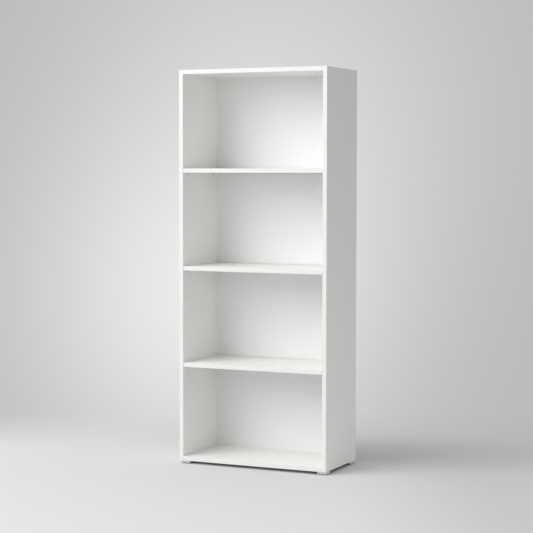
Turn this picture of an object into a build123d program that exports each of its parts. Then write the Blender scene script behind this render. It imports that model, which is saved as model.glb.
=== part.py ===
"""A free-standing flat-pack bookcase: a white chipboard case on four small feet,
a nailed hardboard back, and three shelves that rest on pins in rows of holes.

Millimetres. The origin is on the floor under the middle of the bookcase.
+X is to the viewer's right, the open front faces -Y, and +Z is up.
"""

import os

from build123d import *

os.makedirs("parts", exist_ok=True)

# ---------------------------------------------------------------- the whole case
width = 600
depth = 294  # with the back panel
height = 1482
board = 16  # thickness of every chipboard board
foot_height = 12
back_thickness = 3
back_inset = 1.5  # the back stops this far inside the case's outline
edging = 1  # thickness of the plastic strips on the visible board edges
edging_round = 0.5

# ---------------------------------------------------------------- shelves and pins
shelf_undersides = {"upper_shelf": 1099, "middle_shelf": 732, "lower_shelf": 368}
shelf_side_gap = 0.8  # between a shelf end and the side panel
shelf_setback = 1  # of the shelf's front edge behind the case's front
shelf_rear_gap = 3  # between a shelf and the back panel

pin_hole_radius = 1.5
pin_hole_depth = 9
pin_hole_pitch = 32
pin_hole_count = 7  # holes in each column of each group
pin_column_inset = 37  # from the case's front, and from the boards' rear edges
pin_radius = 1.45
pin_stem = 8
pin_drop = 5  # from the shelf's underside down to the pin's axis
pin_width = 8
pin_plate = 1
pin_tongue_length = 9
pin_tongue_thickness = 1.6
pin_tongue_round = 2.5
pin_rib_thickness = 1.4
pin_rib_leg = 5

# ---------------------------------------------------------------- cams, bolts, dowels
cam_inset = 77  # from the case's front, and from the boards' rear edges
cam_distance = 24  # from a board's end to the middle of its cam
cam_pocket_radius = 7.5
cam_pocket_depth = 12.5
cam_radius = 7.4
cam_height = 12.2
cam_slot_length = 6
cam_slot_width = 1.4
cam_slot_depth = 3
cap_radius = 9
cap_thickness = 1.2
cap_round = 0.8
cap_peg_radius = 0.6
cap_peg_length = 2.5
bolt_bore_radius = 4
bolt_thread_radius = 2.45
bolt_thread_length = 11
bolt_hole_radius = 2.5
bolt_hole_depth = 12
bolt_collar_radius = 3.75
bolt_collar_length = 1.5
bolt_shank_radius = 3
bolt_neck_start = 18
bolt_neck_radius = 1.7
bolt_head_start = 22.5
bolt_head_length = 3
bolt_head_radius = 3.3
dowel_inset = 45
dowel_radius = 3.95
dowel_hole_radius = 4
dowel_in_side = 10
dowel_in_board = 20
dowel_end_gap = 1
dowel_chamfer = 0.8

# ---------------------------------------------------------------- feet
foot_size = 38
foot_corner = 6
foot_side_inset = 1.5
foot_end_inset = 8  # from the front and from the rear of the boards
foot_wall = 4.5
foot_plate = 4
foot_pad_height = 3  # the narrower part of the foot, which stands on the floor
foot_pad_inset = 3
foot_edge_round = 0.5
foot_boss_radius = 5.5
foot_screw_outer = 11  # from the foot's middle out to the screw in the side panel
foot_screw_inner = 10  # from the foot's middle in to the screw in the bottom board
foot_screw_radius = 1.6
foot_screw_length = 18
foot_screw_head_radius = 3.1
foot_screw_head_height = 1.6
foot_screw_recess = 2.2
foot_screw_head_clearance = 0.05
foot_screw_cross_length = 2.8
foot_screw_cross_width = 0.7
foot_screw_cross_depth = 1.2
foot_pilot_radius = 1.65
foot_pilot_depth = 13

# ---------------------------------------------------------------- nails in the back
nail_radius = 0.8
nail_length = 18
nail_head_radius = 2
nail_head_height = 0.8
nail_hole_radius = 0.85
nail_seat_radius = 2.05
nail_hole_depth = 16
nails_up_each_side = 10
nails_along_each_end = 5
nail_end_distance = 60  # from the top and the bottom of the case
nail_spacing_across = 120

# ---------------------------------------------------------------- worked-out places
half_width = width / 2
front = -depth / 2
rear = depth / 2
boards_rear = rear - back_thickness
inner = half_width - board  # the inner face of a side panel
side_middle = half_width - board / 2
core_front = front + edging
core_depth = boards_rear - core_front
core_middle = (core_front + boards_rear) / 2
top_underside = height - board
bottom_topside = foot_height + board
tie_board_undersides = {"top_panel": top_underside, "bottom_panel": foot_height}
tie_middles = [underside + board / 2 for underside in tie_board_undersides.values()]

pin_columns = [front + pin_column_inset, boards_rear - pin_column_inset]
pin_column_middle = sum(pin_columns) / 2
pin_column_spacing = pin_columns[1] - pin_columns[0]
cam_rows = [front + cam_inset, boards_rear - cam_inset]
dowel_rows = [front + dowel_inset, boards_rear - dowel_inset]

foot_x = half_width - foot_side_inset - foot_size / 2
foot_rows = {
    "front": front + foot_end_inset + foot_size / 2,
    "rear": boards_rear - foot_end_inset - foot_size / 2,
}
foot_screw_side_x = foot_x + foot_screw_outer
foot_screw_board_x = foot_x - foot_screw_inner

nail_rise = (height - foot_height - 2 * nail_end_distance) / (nails_up_each_side - 1)
side_nail_heights = [
    foot_height + nail_end_distance + step * nail_rise for step in range(nails_up_each_side)
]
nail_columns = [
    (step - (nails_along_each_end - 1) / 2) * nail_spacing_across
    for step in range(nails_along_each_end)
]


def save(sub_part, name):
    """Label a finished sub-part with its node's name and write its STEP file."""
    sub_part.part.label = name
    export_step(sub_part.part, f"parts/{name}.step")


# ---------------------------------------------------------------- side panels
# Full height, standing on the feet. The inner face has the shelf-pin holes in
# three groups of two columns, and the holes for the cam bolts and dowels that
# tie it to the top and bottom boards.
def side_panel(name, side):
    with BuildPart() as panel:
        with BuildSketch(Plane.XY.offset(foot_height)):
            with Locations((side * side_middle, core_middle)):
                Rectangle(board, core_depth)
        extrude(amount=height - edging - foot_height)

        with BuildSketch(Plane.YZ.offset(side * inner)):
            for underside in shelf_undersides.values():
                with Locations((pin_column_middle, underside - pin_drop)):
                    with GridLocations(pin_column_spacing, pin_hole_pitch, 2, pin_hole_count):
                        Circle(pin_hole_radius)
        extrude(amount=side * pin_hole_depth, mode=Mode.SUBTRACT)

        with BuildSketch(Plane.YZ.offset(side * inner)):
            with Locations(*[(row, z) for row in cam_rows for z in tie_middles]):
                Circle(bolt_hole_radius)
        extrude(amount=side * bolt_hole_depth, mode=Mode.SUBTRACT)

        with BuildSketch(Plane.YZ.offset(side * inner)):
            with Locations(*[(row, z) for row in dowel_rows for z in tie_middles]):
                Circle(dowel_hole_radius)
        extrude(amount=side * (dowel_in_side + dowel_end_gap), mode=Mode.SUBTRACT)

        # pilot holes for the foot screws, up into the bottom edge
        with BuildSketch(Plane.XY.offset(foot_height)):
            with Locations(*[(side * foot_screw_side_x, row) for row in foot_rows.values()]):
                Circle(foot_pilot_radius)
        extrude(amount=foot_pilot_depth, mode=Mode.SUBTRACT)

        # holes of the back panel's nails, in from the rear edge
        with BuildSketch(Plane.XZ.offset(-boards_rear)):
            with Locations(*[(side * side_middle, z) for z in side_nail_heights]):
                Circle(nail_hole_radius)
        extrude(amount=nail_hole_depth, mode=Mode.SUBTRACT)
    save(panel, name)


side_panel("left_side_panel", -1)
side_panel("right_side_panel", 1)


# ---------------------------------------------------------------- top and bottom boards
# They sit between the side panels. Each end is bored for two cam bolts and two
# dowels, and the underside has a pocket for each cam.
def tie_board(name, underside):
    middle = underside + board / 2
    with BuildPart() as panel:
        with BuildSketch(Plane.XY.offset(underside)):
            with Locations((0, core_middle)):
                Rectangle(2 * inner, core_depth)
        extrude(amount=board)

        for side in (-1, 1):
            with BuildSketch(Plane.YZ.offset(side * inner)):
                with Locations(*[(row, middle) for row in cam_rows]):
                    Circle(bolt_bore_radius)
            extrude(amount=-side * cam_distance, mode=Mode.SUBTRACT)

            with BuildSketch(Plane.YZ.offset(side * inner)):
                with Locations(*[(row, middle) for row in dowel_rows]):
                    Circle(dowel_hole_radius)
            extrude(amount=-side * (dowel_in_board + dowel_end_gap), mode=Mode.SUBTRACT)

            with BuildSketch(Plane.XY.offset(underside)):
                with Locations(*[(side * (inner - cam_distance), row) for row in cam_rows]):
                    Circle(cam_pocket_radius)
            extrude(amount=cam_pocket_depth, mode=Mode.SUBTRACT)

        with BuildSketch(Plane.XZ.offset(-boards_rear)):
            with Locations(*[(x, middle) for x in nail_columns]):
                Circle(nail_hole_radius)
        extrude(amount=nail_hole_depth, mode=Mode.SUBTRACT)

        if name == "bottom_panel":
            with BuildSketch(Plane.XY.offset(underside)):
                with Locations((0, sum(foot_rows.values()) / 2)):
                    with GridLocations(
                        2 * foot_screw_board_x, foot_rows["rear"] - foot_rows["front"], 2, 2
                    ):
                        Circle(foot_pilot_radius)
            extrude(amount=foot_pilot_depth, mode=Mode.SUBTRACT)
    save(panel, name)


for panel_name, panel_underside in tie_board_undersides.items():
    tie_board(panel_name, panel_underside)


# ---------------------------------------------------------------- shelves
# Plain boards, a little narrower and shallower than the inside of the case.
shelf_half = inner - shelf_side_gap
shelf_front = front + shelf_setback
shelf_core_front = shelf_front + edging
shelf_rear = boards_rear - shelf_rear_gap


def shelf_board(name, underside):
    with BuildPart() as shelf:
        with BuildSketch(Plane.XY.offset(underside)):
            with Locations((0, (shelf_core_front + shelf_rear) / 2)):
                Rectangle(2 * shelf_half, shelf_rear - shelf_core_front)
        extrude(amount=board)
    save(shelf, name)


for shelf_name, shelf_underside in shelf_undersides.items():
    shelf_board(shelf_name, shelf_underside)


# ---------------------------------------------------------------- edging strips
# Glued on the visible board edges. The two long edges of the outer face are
# rounded, so neighbouring strips meet in a fine groove.
def edging_strip(name, low, high, outward):
    with BuildPart() as strip:
        with BuildSketch(Plane.XY.offset(low[2])):
            with Locations(((low[0] + high[0]) / 2, (low[1] + high[1]) / 2)):
                Rectangle(high[0] - low[0], high[1] - low[1])
        extrude(amount=high[2] - low[2])
        outer_face = strip.faces().sort_by(outward)[-1]
        fillet(outer_face.edges().sort_by(SortBy.LENGTH)[-2:], radius=edging_round)
    save(strip, name)


to_the_front = Axis((0, 0, 0), (0, -1, 0))

for side_name, side_low, side_high in (
    ("left", -half_width, -inner),
    ("right", inner, half_width),
):
    edging_strip(
        f"{side_name}_side_front_edging",
        (side_low, front, foot_height),
        (side_high, core_front, height),
        to_the_front,
    )
    edging_strip(
        f"{side_name}_side_top_edging",
        (side_low, core_front, height - edging),
        (side_high, boards_rear, height),
        Axis.Z,
    )

for panel_name, panel_underside in tie_board_undersides.items():
    edging_strip(
        f"{panel_name}_edging",
        (-inner, front, panel_underside),
        (inner, core_front, panel_underside + board),
        to_the_front,
    )

for shelf_name, shelf_underside in shelf_undersides.items():
    edging_strip(
        f"{shelf_name}_edging",
        (-shelf_half, shelf_front, shelf_underside),
        (shelf_half, shelf_core_front, shelf_underside + board),
        to_the_front,
    )


# ---------------------------------------------------------------- shelf pins
# Four to a shelf. Each has a round stem in the side panel, a plate that lies
# on the panel, and a flat tongue under the shelf with a rib below it.
def shelf_pins(name, underside):
    with BuildPart() as pins:
        with BuildSketch(Plane.YZ.offset(inner)):
            with Locations(*[(column, underside - pin_drop) for column in pin_columns]):
                Circle(pin_radius)
        extrude(amount=pin_stem)

        with BuildSketch(Plane.YZ.offset(inner)):
            with Locations(*[(column, underside) for column in pin_columns]):
                Rectangle(pin_width, pin_drop, align=(Align.CENTER, Align.MAX))
            with Locations(*[(column, underside - pin_drop) for column in pin_columns]):
                Circle(pin_width / 2)
        extrude(amount=-pin_plate)

        with BuildSketch(Plane.XY.offset(underside)) as tongue:
            with Locations(*[(inner, column) for column in pin_columns]):
                Rectangle(pin_tongue_length, pin_width, align=(Align.MAX, Align.CENTER))
            fillet(tongue.vertices().group_by(Axis.X)[0], radius=pin_tongue_round)
        extrude(amount=-pin_tongue_thickness)

        rib_corner = (inner - pin_plate, underside - pin_tongue_thickness)
        for column in pin_columns:
            with BuildSketch(Plane.XZ.offset(-column)):
                with BuildLine():
                    Polyline(
                        rib_corner,
                        (rib_corner[0] - pin_rib_leg, rib_corner[1]),
                        (rib_corner[0], rib_corner[1] - pin_rib_leg),
                        close=True,
                    )
                make_face()
            extrude(amount=pin_rib_thickness / 2, both=True)

        mirror(about=Plane.YZ)
    save(pins, name)


for shelf_name, shelf_underside in shelf_undersides.items():
    shelf_pins(f"{shelf_name}_pins", shelf_underside)

# ---------------------------------------------------------------- cam fittings
# A bolt is screwed into the side panel, and its head is drawn in by the cam in
# the top or bottom board.
with BuildPart() as cam_bolts:
    bolt_steps = [
        (-bolt_thread_length, 0, bolt_thread_radius),
        (0, bolt_collar_length, bolt_collar_radius),
        (bolt_collar_length, bolt_neck_start, bolt_shank_radius),
        (bolt_neck_start, bolt_head_start, bolt_neck_radius),
        (bolt_head_start, bolt_head_start + bolt_head_length, bolt_head_radius),
    ]
    for start, end, radius in bolt_steps:
        with BuildSketch(Plane.YZ.offset(inner - start)):
            with Locations(*[(row, z) for row in cam_rows for z in tie_middles]):
                Circle(radius)
        extrude(amount=start - end)
    mirror(about=Plane.YZ)
save(cam_bolts, "cam_bolts")

with BuildPart() as cam_locks:
    cam_places = [(inner - cam_distance, row) for row in cam_rows]
    for board_underside in tie_board_undersides.values():
        cam_face = board_underside + cam_pocket_depth - cam_height
        with BuildSketch(Plane.XY.offset(cam_face)):
            with Locations(*cam_places):
                Circle(cam_radius)
        extrude(amount=cam_height)
        # the cross recess for a screwdriver
        with BuildSketch(Plane.XY.offset(cam_face)):
            with Locations(*cam_places):
                Rectangle(cam_slot_length, cam_slot_width)
                Rectangle(cam_slot_width, cam_slot_length)
        extrude(amount=cam_slot_depth, mode=Mode.SUBTRACT)
    # the way in for the bolt's head, open towards the board's end
    with BuildSketch(Plane.YZ.offset(inner)):
        with Locations(*[(row, z) for row in cam_rows for z in tie_middles]):
            Circle(bolt_bore_radius)
    extrude(amount=-(cam_distance + bolt_head_length), mode=Mode.SUBTRACT)
    mirror(about=Plane.YZ)
save(cam_locks, "cam_locks")

# The caps cover the cams under the top board, where they could be seen.
with BuildPart() as cam_caps:
    with BuildSketch(Plane.XY.offset(top_underside)):
        with Locations(*cam_places):
            Circle(cap_radius)
    extrude(amount=-cap_thickness)
    cap_rims = cam_caps.edges().filter_by(GeomType.CIRCLE).group_by(Axis.Z)[0]
    fillet(cap_rims, radius=cap_round)
    with BuildSketch(Plane.XY.offset(top_underside)):
        with Locations(*cam_places):
            Circle(cap_peg_radius)
    extrude(amount=cap_peg_length)
    mirror(about=Plane.YZ)
save(cam_caps, "cam_caps")

with BuildPart() as dowels:
    with BuildSketch(Plane.YZ.offset(inner - dowel_in_board)):
        with Locations(*[(row, z) for row in dowel_rows for z in tie_middles]):
            Circle(dowel_radius)
    extrude(amount=dowel_in_board + dowel_in_side)
    chamfer(dowels.edges().filter_by(GeomType.CIRCLE), length=dowel_chamfer)
    mirror(about=Plane.YZ)
save(dowels, "dowels")


# ---------------------------------------------------------------- feet
# A hollow moulded block under each corner, screwed up into the side panel and
# the bottom board through two bosses.
def foot(name, side, row):
    screw_places = [(side * foot_screw_side_x, row), (side * foot_screw_board_x, row)]
    hollow = foot_size - 2 * foot_wall
    pad_size = foot_size - 2 * foot_pad_inset
    with BuildPart() as block:
        with BuildSketch(Plane.XY.offset(foot_pad_height)):
            with Locations((side * foot_x, row)):
                RectangleRounded(foot_size, foot_size, foot_corner)
        extrude(amount=foot_height - foot_pad_height)
        with BuildSketch():
            with Locations((side * foot_x, row)):
                RectangleRounded(pad_size, pad_size, foot_corner - foot_pad_inset)
        extrude(amount=foot_pad_height)
        fillet(block.faces().sort_by(Axis.Z)[0].edges(), radius=foot_edge_round)

        with BuildSketch():
            with Locations((side * foot_x, row)):
                RectangleRounded(hollow, hollow, foot_corner - foot_wall)
            with Locations(*screw_places):
                Circle(foot_boss_radius, mode=Mode.SUBTRACT)
            with Locations((side * foot_x, row)):
                Rectangle(hollow, foot_wall / 2, mode=Mode.SUBTRACT)
        extrude(amount=foot_height - foot_plate, mode=Mode.SUBTRACT)

        # clearance hole and countersink, recessed up into each boss
        for place in screw_places:
            with Locations((*place, foot_screw_recess)):
                with Locations(Rotation(180, 0, 0)):
                    CounterSinkHole(foot_pilot_radius, foot_screw_head_radius, depth=foot_height)
            with BuildSketch():
                with Locations(place):
                    Circle(foot_screw_head_radius)
            extrude(amount=foot_screw_recess, mode=Mode.SUBTRACT)
    save(block, name)


for row_name, foot_row in foot_rows.items():
    foot(f"{row_name}_left_foot", -1, foot_row)
    foot(f"{row_name}_right_foot", 1, foot_row)

with BuildPart() as foot_screws:
    foot_screw_places = [
        (x, row) for x in (foot_screw_side_x, foot_screw_board_x) for row in foot_rows.values()
    ]
    with BuildSketch(Plane.XY.offset(foot_screw_recess)):
        with Locations(*foot_screw_places):
            Circle(foot_screw_radius)
    extrude(amount=foot_screw_length)
    for place in foot_screw_places:
        with Locations((*place, foot_screw_recess)):
            Cone(
                foot_screw_head_radius - foot_screw_head_clearance,
                foot_screw_radius,
                foot_screw_head_height,
                align=(Align.CENTER, Align.CENTER, Align.MIN),
            )
    with BuildSketch(Plane.XY.offset(foot_screw_recess)):
        with Locations(*foot_screw_places):
            Rectangle(foot_screw_cross_length, foot_screw_cross_width)
            Rectangle(foot_screw_cross_width, foot_screw_cross_length)
    extrude(amount=foot_screw_cross_depth, mode=Mode.SUBTRACT)
    mirror(about=Plane.YZ)
save(foot_screws, "foot_screws")

# ---------------------------------------------------------------- back panel and nails
nail_places = [(x, z) for x in (-side_middle, side_middle) for z in side_nail_heights]
nail_places += [(x, z) for x in nail_columns for z in tie_middles]

with BuildPart() as back_panel:
    with BuildSketch(Plane.XZ.offset(-boards_rear)):
        with Locations((0, (height + foot_height) / 2)):
            Rectangle(width - 2 * back_inset, height - foot_height - 2 * back_inset)
        with Locations(*nail_places):
            Circle(nail_hole_radius, mode=Mode.SUBTRACT)
    extrude(amount=-back_thickness)
    with BuildSketch(Plane.XZ.offset(-rear)):
        with Locations(*nail_places):
            Circle(nail_seat_radius)
    extrude(amount=nail_head_height, mode=Mode.SUBTRACT)
save(back_panel, "back_panel")

with BuildPart() as back_panel_nails:
    with BuildSketch(Plane.XZ.offset(-rear)):
        with Locations(*nail_places):
            Circle(nail_head_radius)
    extrude(amount=nail_head_height)
    with BuildSketch(Plane.XZ.offset(-rear + nail_head_height)):
        with Locations(*nail_places):
            Circle(nail_radius)
    extrude(amount=nail_length - nail_head_height)
save(back_panel_nails, "back_panel_nails")
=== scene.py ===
"""Looks of a white flat-pack bookcase with three adjustable shelves.

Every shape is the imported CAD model's own. This script gives each board, strip,
fitting and foot its materials, and adds the floor, the lights, the surroundings
and the camera.
Metres, +Z up, the open front faces -Y, origin on the floor under the middle.
"""

import math

import bpy
from mathutils import Matrix, Vector


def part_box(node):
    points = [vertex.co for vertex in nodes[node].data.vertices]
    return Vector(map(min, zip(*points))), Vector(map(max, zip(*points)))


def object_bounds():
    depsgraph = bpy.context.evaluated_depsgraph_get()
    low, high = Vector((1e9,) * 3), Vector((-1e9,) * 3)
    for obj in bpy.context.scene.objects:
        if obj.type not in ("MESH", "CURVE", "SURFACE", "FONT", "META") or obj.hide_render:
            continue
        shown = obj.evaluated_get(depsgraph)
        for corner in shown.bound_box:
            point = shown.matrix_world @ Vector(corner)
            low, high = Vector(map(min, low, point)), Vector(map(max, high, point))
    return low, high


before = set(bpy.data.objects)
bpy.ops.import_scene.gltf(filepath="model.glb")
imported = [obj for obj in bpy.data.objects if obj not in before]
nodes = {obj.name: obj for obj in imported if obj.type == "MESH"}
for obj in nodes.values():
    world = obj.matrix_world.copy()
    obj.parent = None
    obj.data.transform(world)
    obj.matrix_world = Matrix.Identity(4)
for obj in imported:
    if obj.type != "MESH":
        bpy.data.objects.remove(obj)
cad_low, cad_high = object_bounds()

MM = 0.001
TOUCHING = 0.05 * MM  # how far apart two places may be and still count as the same
ACROSS = 0.99  # the least part of a unit normal along an axis for its face to lie across it
X_AXIS, Y_AXIS, Z_AXIS = 0, 1, 2
SHELVES = ("upper_shelf", "middle_shelf", "lower_shelf")

# ---------------------------------------------------------------- camera settings
# A long lens, in front of the bookcase and to its right, a little above its middle.
CAMERA_YAW = math.radians(24.82)
CAMERA_PITCH = math.radians(3.287)
CAMERA_ROLL = math.radians(0.079)
CAMERA_PLACE = Vector((2.5405, -5.5068, 1.0950))
CAMERA_LENS_MM = 108.89
SENSOR_MM = 36.0
FARTHEST_SEEN = 200.0  # metres

# ---------------------------------------------------------------- light settings
# Azimuths are degrees from -Y towards +X, so a light in front of the bookcase is near 0.
# The key is a large square softbox in front of the bookcase, to its left and above.
NEUTRAL = (1.0, 1.0, 1.0)
KEY = {
    "azimuth": -33.0,
    "elevation": 31.0,
    "distance": 5.0,
    "size": 3.8,
    "watts": 156.0,
    "colour": NEUTRAL,
}
# A weak warm panel in front and to the right, and a weaker one just above the floor on
# the right.
WARM = (1.0, 0.965, 0.92)
FILL = {
    "azimuth": 45.0,
    "elevation": 4.0,
    "distance": 3.7,
    "size": 1.6,
    "watts": 10.0,
    "colour": WARM,
}
LOW_FILL = {
    "azimuth": 93.0,
    "elevation": -18.0,
    "distance": 2.0,
    "size": 0.6,
    "watts": 2.6,
    "colour": WARM,
}

# The surroundings are an even grey with lobes of light, and a ground of their own. A lobe
# is strength * (cosine of the angle from its middle) ** tightness. Overhead and the left
# are lighter, the right is darker, and two tight lobes make the glow behind the bookcase.
SKY_GREY = 0.485
SKY_LOBES = (
    {"azimuth": 0.0, "elevation": 90.0, "strength": 0.31, "tightness": 3.0},
    {"azimuth": -45.0, "elevation": 39.0, "strength": 1.22, "tightness": 8.0},
    {"azimuth": 90.0, "elevation": 0.0, "strength": -0.25, "tightness": 3.0},
    {"azimuth": -153.0, "elevation": -4.9, "strength": 0.30, "tightness": 157.0},
    {"azimuth": -155.6, "elevation": 2.9, "strength": 0.16, "tightness": 120.0},
)
GROUND_GREY = 0.42
GROUND_LOBES = (
    {"azimuth": -140.0, "elevation": -12.0, "strength": 0.42, "tightness": 25.0},
    {"azimuth": 0.0, "elevation": -15.0, "strength": 0.34, "tightness": 2.0},
    {"azimuth": 96.0, "elevation": -18.0, "strength": -0.20, "tightness": 3.0},
)
GROUND_START = -8.2  # degrees of elevation where the backdrop begins to turn into ground
GROUND_FULL = -9.9

# ---------------------------------------------------------------- floor settings
FLOOR_RADIUS = 1.75
FLOOR_SIDES = 96
FLOOR_SOLID = 0.55  # share of that radius where the floor starts to fade out
FLOOR_GONE = 0.99  # share of that radius where it has faded out
FLOOR_FORWARD = 0.75  # of the floor's middle, towards the camera
FLOOR_GREY = 0.67
FLOOR_PAINTED_SHADE = (0.15, 0.85)  # metres to the right of the origin over which painted shade darkens the floor
FLOOR_PAINTED_SHADE_TONE = 0.83  # of its grey, at the dark end of the painted shade

# ---------------------------------------------------------------- colours and textures
WHITE = (0.880, 0.877, 0.866)
LACQUER_WHITE = (0.879, 0.879, 0.877)
EDGING_WHITE = (0.765, 0.763, 0.752)
MOULDED_WHITE = (0.74, 0.74, 0.725)
# painted shadow: near-black for the narrow lowest part of each foot, in place of the contact
# shade under it
PAINTED_SHADOW_BLACK = (0.07, 0.07, 0.072)
CHIPBOARD_BROWN = (0.47, 0.33, 0.2)
HARDBOARD_BROWN = (0.36, 0.245, 0.15)
BEECH_BROWN = (0.62, 0.43, 0.26)
PLATE_GREY = (0.66, 0.67, 0.68)
DIE_CAST_GREY = (0.52, 0.53, 0.54)
NICKEL_GREY = (0.70, 0.68, 0.64)
PRESS_MESH_PITCH = 1.6 * MM
WAVE_RATE = 20.0  # radians that Blender's wave texture turns per metre at a scale of 1
SOLE_HEIGHT = 3.0 * MM  # the narrower part of each foot, which stands on the floor and is painted near-black as shade


# ---------------------------------------------------------------- shader helpers
def add_node(tree, kind, inputs=None, **settings):
    """Adds a node, sets its properties, and fills its inputs with values or other outputs."""
    node = tree.nodes.new(kind)
    for name, value in settings.items():
        setattr(node, name, value)
    for name, value in (inputs or {}).items():
        if isinstance(value, bpy.types.NodeSocket):
            tree.links.new(value, node.inputs[name])
        else:
            node.inputs[name].default_value = value
    return node


class Shader:
    """A node material, with short calls for the nodes that this script uses."""

    def __init__(self, name, colour, roughness, metallic=0.0, specular=0.5):
        self.material = bpy.data.materials.new(name)
        self.material.use_nodes = True
        self.tree = self.material.node_tree
        self.surface = self.tree.nodes["Principled BSDF"]
        self.surface.inputs["Base Color"].default_value = (*colour, 1.0)
        self.surface.inputs["Roughness"].default_value = roughness
        self.surface.inputs["Metallic"].default_value = metallic
        self.surface.inputs["Specular IOR Level"].default_value = specular
        self.coordinates = self.add("ShaderNodeTexCoord").outputs["Object"]

    def add(self, kind, inputs=None, **settings):
        """Adds a node to this material."""
        return add_node(self.tree, kind, inputs, **settings)

    def stretched(self, scale):
        """The object's own coordinates, scaled along each axis."""
        return self.add(
            "ShaderNodeMapping", {"Vector": self.coordinates, "Scale": scale}
        ).outputs["Vector"]

    def noise(self, scale, detail, roughness=0.5, vector=None):
        """Smooth noise from 0 to 1."""
        return self.add(
            "ShaderNodeTexNoise",
            {
                "Vector": vector or self.coordinates,
                "Scale": scale,
                "Detail": detail,
                "Roughness": roughness,
            },
        ).outputs["Fac"]

    def cells(self, scale, output="Distance"):
        """Irregular cells: the distance from their middles, or a colour for each."""
        return self.add(
            "ShaderNodeTexVoronoi", {"Vector": self.coordinates, "Scale": scale}
        ).outputs[output]

    def ramp(self, value, *stops):
        """A colour ramp. Each stop is a place from 0 to 1 and a colour."""
        node = self.add("ShaderNodeValToRGB", {"Fac": value})
        elements = node.color_ramp.elements
        while len(elements) < len(stops):
            elements.new(0.5)
        for element, (place, colour) in zip(elements, stops):
            element.position = place
            element.color = (*colour, 1.0)
        return node.outputs["Color"]

    def spread(self, value, low, high):
        """Maps a value from 0..1 to low..high."""
        return self.add(
            "ShaderNodeMapRange", {"Value": value, "To Min": low, "To Max": high}
        ).outputs["Result"]

    def sum(self, one, other, share=1.0):
        """One value plus a share of the other."""
        scaled = self.add("ShaderNodeMath", {0: other, 1: share}, operation="MULTIPLY")
        return self.add(
            "ShaderNodeMath", {0: one, 1: scaled.outputs[0]}, operation="ADD"
        ).outputs[0]

    def tint(self, colour, value, low, high):
        """Multiplies a colour by a grey that follows value from low to high.

        The colour is plain or comes from a node. The mix node has sockets of one name for
        every data type, so the RGBA ones are picked.
        """
        grey = self.spread(value, low, high)
        mixed = self.add(
            "ShaderNodeMix", {"Factor": 1.0}, data_type="RGBA", blend_type="MULTIPLY"
        )
        for socket, source in (("A", colour), ("B", grey)):
            target = next(s for s in mixed.inputs if s.name == socket and s.type == "RGBA")
            if isinstance(source, bpy.types.NodeSocket):
                self.tree.links.new(source, target)
            else:
                target.default_value = (*source, 1.0)
        return next(s for s in mixed.outputs if s.type == "RGBA")

    def colour(self, output):
        """Feeds the surface's colour from a node."""
        self.tree.links.new(output, self.surface.inputs["Base Color"])

    def roughness(self, output):
        """Feeds the surface's roughness from a node."""
        self.tree.links.new(output, self.surface.inputs["Roughness"])

    def bump(self, height, distance, strength):
        """Gives the surface a relief that follows height, and distance is its depth in metres."""
        node = self.add(
            "ShaderNodeBump",
            {"Height": height, "Distance": distance, "Strength": strength},
        )
        self.tree.links.new(node.outputs["Normal"], self.surface.inputs["Normal"])


# ---------------------------------------------------------------- materials
def melamine():
    """Printed white paper under a satin resin: a fine pearl texture and faint handling marks."""
    s = Shader("melamine", WHITE, 0.42, specular=0.42)
    cloud = s.noise(1.7, 4.0)
    s.colour(s.tint(WHITE, cloud, 0.985, 1.012))
    s.roughness(s.spread(s.noise(9.0, 6.0, 0.6), 0.40, 0.46))
    pearl = s.noise(1400.0, 2.0)
    waviness = s.noise(14.0, 1.0)
    s.bump(s.sum(pearl, waviness, 1.5), 0.02 * MM, 0.6)
    return s.material


def chipboard():
    """The cut edge of the board: pressed flakes of several browns, with a rough relief."""
    s = Shader("raw_chipboard", CHIPBOARD_BROWN, 0.85, specular=0.2)
    flakes = s.cells(420.0, "Color")
    flake_value = s.add("ShaderNodeSeparateColor", {"Color": flakes}).outputs["Red"]
    tone = s.ramp(
        flake_value,
        (0.0, (0.22, 0.14, 0.08)),
        (0.35, (0.42, 0.29, 0.17)),
        (0.7, (0.54, 0.40, 0.25)),
        (1.0, (0.66, 0.52, 0.36)),
    )
    s.colour(s.tint(tone, s.noise(900.0, 3.0), 0.78, 1.15))
    s.bump(s.sum(s.cells(420.0), s.noise(700.0, 3.0), 0.6), 0.25 * MM, 0.8)
    return s.material


def edging(name, white):
    """Plastic strip: a touch smoother than the boards, with a fine orange peel."""
    s = Shader(name, white, 0.38, specular=0.45)
    s.colour(s.tint(white, s.noise(5.0, 3.0), 0.985, 1.01))
    s.roughness(s.spread(s.noise(30.0, 4.0, 0.6), 0.36, 0.44))
    s.bump(s.sum(s.noise(600.0, 1.0), s.noise(40.0, 2.0), 1.5), 0.015 * MM, 0.6)
    return s.material


def back_lacquer():
    """The inner face of the back: thin white lacquer, with the fibre just showing through."""
    s = Shader("back_lacquer", LACQUER_WHITE, 0.5, specular=0.35)
    s.colour(s.tint(LACQUER_WHITE, s.noise(2.2, 4.0), 0.985, 1.01))
    s.roughness(s.spread(s.noise(12.0, 5.0, 0.6), 0.44, 0.58))
    fibre = s.noise(260.0, 4.0, 0.6, s.stretched((1.0, 1.0, 0.35)))
    s.bump(s.sum(fibre, s.noise(6.0, 1.0), 4.0), 0.02 * MM, 0.6)
    return s.material


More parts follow.
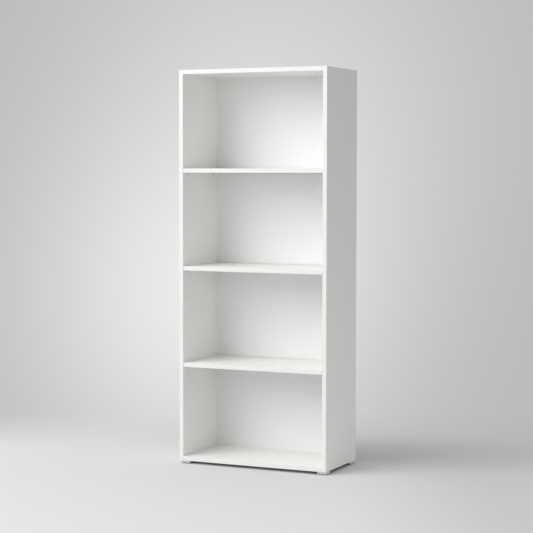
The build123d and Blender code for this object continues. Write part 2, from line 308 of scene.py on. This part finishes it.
def back_hardboard():
    """The outer face of the back: brown pressed fibre with the mark of the press's wire mesh."""
    s = Shader("back_hardboard", HARDBOARD_BROWN, 0.75, specular=0.25)
    fibre = s.noise(420.0, 6.0, 0.65, s.stretched((1.0, 1.0, 0.35)))
    tone = s.ramp(
        fibre,
        (0.25, (0.27, 0.172, 0.098)),
        (0.5, (0.36, 0.242, 0.145)),
        (0.75, (0.45, 0.315, 0.2)),
    )
    clumps = s.tint(tone, s.noise(70.0, 4.0, 0.6, s.stretched((1.0, 1.0, 0.6))), 0.92, 1.06)
    s.colour(s.tint(clumps, s.noise(2.4, 5.0), 0.86, 1.1))
    s.roughness(s.spread(fibre, 0.68, 0.85))
    weave = s.sum(mesh_wave(s, "X"), mesh_wave(s, "Z"))
    s.bump(s.sum(weave, fibre, 1.2), 0.08 * MM, 0.7)
    return s.material


def mesh_wave(s, direction):
    """One set of the parallel ridges that the press's wires leave."""
    ridge_scale = math.tau / WAVE_RATE / PRESS_MESH_PITCH
    return s.add(
        "ShaderNodeTexWave",
        {"Vector": s.coordinates, "Scale": ridge_scale, "Distortion": 0.6, "Detail": 1.0},
        bands_direction=direction,
    ).outputs["Fac"]


def zinc_plate():
    """Nails, screws and cam bolts: a dull plating with a fine mottle."""
    s = Shader("zinc_plate", PLATE_GREY, 0.34, metallic=1.0)
    s.colour(s.tint(PLATE_GREY, s.noise(500.0, 4.0), 0.85, 1.08))
    s.roughness(s.spread(s.noise(900.0, 3.0), 0.26, 0.44))
    s.bump(s.noise(1500.0, 3.0), 0.02 * MM, 0.6)
    return s.material


def die_cast():
    """The cams: darker and rougher than plating, as they come from the mould."""
    s = Shader("die_cast_zinc", DIE_CAST_GREY, 0.46, metallic=1.0)
    s.colour(s.tint(DIE_CAST_GREY, s.noise(350.0, 5.0), 0.8, 1.1))
    s.roughness(s.spread(s.noise(500.0, 4.0), 0.38, 0.58))
    s.bump(s.noise(800.0, 4.0), 0.05 * MM, 0.8)
    return s.material


def satin_nickel():
    """The shelf pins, faintly brushed along the Y axis."""
    s = Shader("satin_nickel", NICKEL_GREY, 0.3, metallic=1.0)
    brushed = s.noise(1200.0, 2.0, 0.5, s.stretched((1.0, 0.08, 1.0)))
    s.colour(s.tint(NICKEL_GREY, brushed, 0.93, 1.04))
    s.roughness(s.spread(brushed, 0.24, 0.36))
    s.bump(brushed, 0.01 * MM, 0.6)
    return s.material


def beech():
    """The dowels: raw wood with its grain along the X axis."""
    s = Shader("beech", BEECH_BROWN, 0.6, specular=0.3)
    grain = s.noise(420.0, 5.0, 0.6, s.stretched((0.06, 1.0, 1.0)))
    s.colour(
        s.ramp(
            grain,
            (0.3, (0.50, 0.32, 0.18)),
            (0.6, (0.64, 0.45, 0.27)),
            (0.8, (0.70, 0.52, 0.34)),
        )
    )
    s.bump(grain, 0.1 * MM, 0.7)
    return s.material


def moulded_plastic():
    """The feet and the cam caps: white plastic with the fine texture of its mould."""
    s = Shader("moulded_white", MOULDED_WHITE, 0.48, specular=0.45)
    s.colour(s.tint(MOULDED_WHITE, s.noise(60.0, 4.0), 0.94, 1.02))
    s.roughness(s.spread(s.noise(200.0, 3.0), 0.42, 0.58))
    s.bump(s.noise(1100.0, 2.0), 0.05 * MM, 0.8)
    return s.material


def painted_shadow_sole():
    """Painted shadow on the narrow lowest part of each white foot: near-black, matt and slightly
    rough, standing in for the contact shade under the feet.
    """
    s = Shader("painted_shadow_sole", PAINTED_SHADOW_BLACK, 0.75, specular=0.3)
    s.colour(s.tint(PAINTED_SHADOW_BLACK, s.noise(80.0, 4.0), 0.8, 1.15))
    s.roughness(s.spread(s.noise(240.0, 3.0), 0.68, 0.84))
    s.bump(s.noise(900.0, 3.0), 0.08 * MM, 0.8)
    return s.material


# ---------------------------------------------------------------- dressing the nodes
def dress(node, *materials):
    """Puts materials on a CAD node in place of the plain one it came with."""
    mesh = nodes[node].data
    mesh.materials.clear()
    for material in materials:
        mesh.materials.append(material)


def dress_board(node, skin, core, axis, one_sided=False):
    """The two broad faces across axis get the skin, and everything else is bare core.

    On a one_sided board only the broad face with the lower coordinate gets the skin.
    """
    dress(node, skin, core)
    low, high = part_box(node)
    skin_places = (low[axis],) if one_sided else (low[axis], high[axis])
    for polygon in nodes[node].data.polygons:
        flat = abs(polygon.normal[axis]) > ACROSS
        outer = any(abs(polygon.center[axis] - place) < TOUCHING for place in skin_places)
        polygon.material_index = 0 if flat and outer else 1


def dress_foot(node, block, shadow_paint):
    """The narrow lowest part of the foot gets the painted shadow, and everything else is the
    block's.
    """
    dress(node, block, shadow_paint)
    mesh = nodes[node].data
    for polygon in mesh.polygons:
        rises = [mesh.vertices[corner].co.z for corner in polygon.vertices]
        reaches_up = max(rises) > SOLE_HEIGHT + TOUCHING
        starts_below = min(rises) < SOLE_HEIGHT - TOUCHING
        polygon.material_index = 1 if starts_below and not reaches_up else 0


board_skin = melamine()
board_core = chipboard()
for side in ("left", "right"):
    dress_board(f"{side}_side_panel", board_skin, board_core, X_AXIS)
for board in ("top_panel", "bottom_panel", *SHELVES):
    dress_board(board, board_skin, board_core, Z_AXIS)
dress_board("back_panel", back_lacquer(), back_hardboard(), Y_AXIS, one_sided=True)

front_strip = edging("front_edging", EDGING_WHITE)
top_strip = edging("top_edging", WHITE)
for node in nodes:
    if node.endswith("_side_top_edging"):
        dress(node, top_strip)
    elif node.endswith("_edging"):
        dress(node, front_strip)

plastic = moulded_plastic()
# the lowest part of each foot gets a near-black painted shadow; the rest of the foot is white
# plastic
painted_shadow_sole_material = painted_shadow_sole()
for node in nodes:
    if node.endswith("_foot"):
        dress_foot(node, plastic, painted_shadow_sole_material)
dress("cam_caps", plastic)

plated = zinc_plate()
for node in ("back_panel_nails", "cam_bolts", "foot_screws"):
    dress(node, plated)
dress("cam_locks", die_cast())
dress("dowels", beech())

nickel = satin_nickel()
for shelf in SHELVES:
    dress(f"{shelf}_pins", nickel)


# ---------------------------------------------------------------- floor
def make_floor():
    """A pale disc that fades out towards its rim, into the ground of the surroundings.

    Seen from the camera, painted shade darkens it towards the right.
    """
    middle = Vector((math.sin(CAMERA_YAW), -math.cos(CAMERA_YAW), 0.0)) * FLOOR_FORWARD
    mesh = bpy.data.meshes.new("floor")
    turns = (math.tau * step / FLOOR_SIDES for step in range(FLOOR_SIDES))
    rim = [
        Vector((math.cos(turn), math.sin(turn), 0.0)) * FLOOR_RADIUS + middle for turn in turns
    ]
    mesh.from_pydata(rim, [], [list(range(FLOOR_SIDES))])
    floor = bpy.data.objects.new("floor", mesh)
    bpy.context.scene.collection.objects.link(floor)
    grey = (FLOOR_GREY, FLOOR_GREY, FLOOR_GREY)
    s = Shader("floor_paint", grey, 0.9, specular=0.1)
    # painted shade: the floor's grey is darkened towards the camera's right
    rightwards = (math.cos(CAMERA_YAW), math.sin(CAMERA_YAW), 0.0)
    across = s.add(
        "ShaderNodeVectorMath", {0: s.coordinates, 1: rightwards}, operation="DOT_PRODUCT"
    ).outputs["Value"]
    floor_painted_shade = s.add(
        "ShaderNodeMapRange",
        {"Value": across, "From Min": FLOOR_PAINTED_SHADE[0], "From Max": FLOOR_PAINTED_SHADE[1]},
        interpolation_type="SMOOTHSTEP",
    ).outputs["Result"]
    s.colour(s.tint(grey, floor_painted_shade, 1.0, FLOOR_PAINTED_SHADE_TONE))
    away = s.add(
        "ShaderNodeVectorMath", {0: s.coordinates, 1: tuple(middle)}, operation="DISTANCE"
    ).outputs["Value"]
    solid = s.add(
        "ShaderNodeMapRange",
        {
            "Value": away,
            "From Min": FLOOR_SOLID * FLOOR_RADIUS,
            "From Max": FLOOR_GONE * FLOOR_RADIUS,
            "To Min": 1.0,
            "To Max": 0.0,
        },
        interpolation_type="SMOOTHSTEP",
    ).outputs["Result"]
    s.tree.links.new(solid, s.surface.inputs["Alpha"])
    mesh.materials.append(s.material)


make_floor()


# ---------------------------------------------------------------- surroundings and lamps
def compass(azimuth, elevation):
    """A direction from degrees: azimuth from -Y towards +X, and elevation."""
    azimuth, elevation = math.radians(azimuth), math.radians(elevation)
    return Vector(
        (
            math.sin(azimuth) * math.cos(elevation),
            -math.cos(azimuth) * math.cos(elevation),
            math.sin(elevation),
        )
    )


def make_world():
    """A grey studio all round, lighter in places, that turns into ground below."""
    world = bpy.data.worlds.new("studio")
    world.use_nodes = True
    bpy.context.scene.world = world
    tree = world.node_tree

    def add(kind, inputs=None, **settings):
        """Adds a node to the world."""
        return add_node(tree, kind, inputs, **settings)

    direction = add("ShaderNodeTexCoord").outputs["Generated"]

    def with_lobes(grey, lobes):
        """The grey plus every lobe, as one node output."""
        for lobe in lobes:
            middle = compass(lobe["azimuth"], lobe["elevation"])
            facing = add(
                "ShaderNodeVectorMath", {0: direction, 1: middle}, operation="DOT_PRODUCT"
            ).outputs["Value"]
            ahead = add("ShaderNodeMath", {0: facing, 1: 0.0}, operation="MAXIMUM").outputs[0]
            falloff = add(
                "ShaderNodeMath", {0: ahead, 1: lobe["tightness"]}, operation="POWER"
            ).outputs[0]
            grey = add(
                "ShaderNodeMath",
                {0: falloff, 1: lobe["strength"], 2: grey},
                operation="MULTIPLY_ADD",
            ).outputs[0]
        return grey

    height = add("ShaderNodeSeparateXYZ", {0: direction}).outputs["Z"]
    light = add(
        "ShaderNodeMapRange",
        {
            "Value": height,
            "From Min": math.sin(math.radians(GROUND_FULL)),
            "From Max": math.sin(math.radians(GROUND_START)),
            "To Min": with_lobes(GROUND_GREY, GROUND_LOBES),
            "To Max": with_lobes(SKY_GREY, SKY_LOBES),
        },
        interpolation_type="SMOOTHSTEP",
    ).outputs["Result"]
    tree.links.new(light, tree.nodes["Background"].inputs["Color"])


def make_softbox(name, setup):
    """A square lamp that faces the middle of the bookcase."""
    lamp = bpy.data.lights.new(name, "AREA")
    lamp.shape = "SQUARE"
    lamp.size = setup["size"]
    lamp.energy = setup["watts"]
    lamp.color = setup["colour"]
    softbox = bpy.data.objects.new(name, lamp)
    bpy.context.scene.collection.objects.link(softbox)
    towards = compass(setup["azimuth"], setup["elevation"])
    softbox.location = (cad_low + cad_high) / 2 + towards * setup["distance"]
    softbox.rotation_mode = "QUATERNION"
    softbox.rotation_quaternion = towards.to_track_quat("Z", "Y")
    softbox.visible_camera = False


make_world()
make_softbox("key", KEY)
make_softbox("fill", FILL)
make_softbox("low_fill", LOW_FILL)


# ---------------------------------------------------------------- camera
def make_camera():
    """The camera, rolled about its line of sight, tilted a little down and turned to the left."""
    camera_data = bpy.data.cameras.new("camera")
    camera_data.lens = CAMERA_LENS_MM
    camera_data.sensor_width = SENSOR_MM
    camera_data.clip_end = FARTHEST_SEEN
    camera = bpy.data.objects.new("camera", camera_data)
    bpy.context.scene.collection.objects.link(camera)
    turn = (
        Matrix.Rotation(CAMERA_YAW, 4, "Z")
        @ Matrix.Rotation(math.pi / 2 - CAMERA_PITCH, 4, "X")
        @ Matrix.Rotation(CAMERA_ROLL, 4, "Z")
    )
    camera.matrix_world = Matrix.Translation(CAMERA_PLACE) @ turn
    bpy.context.scene.camera = camera


make_camera()
bpy.context.scene.view_settings.view_transform = "Standard"
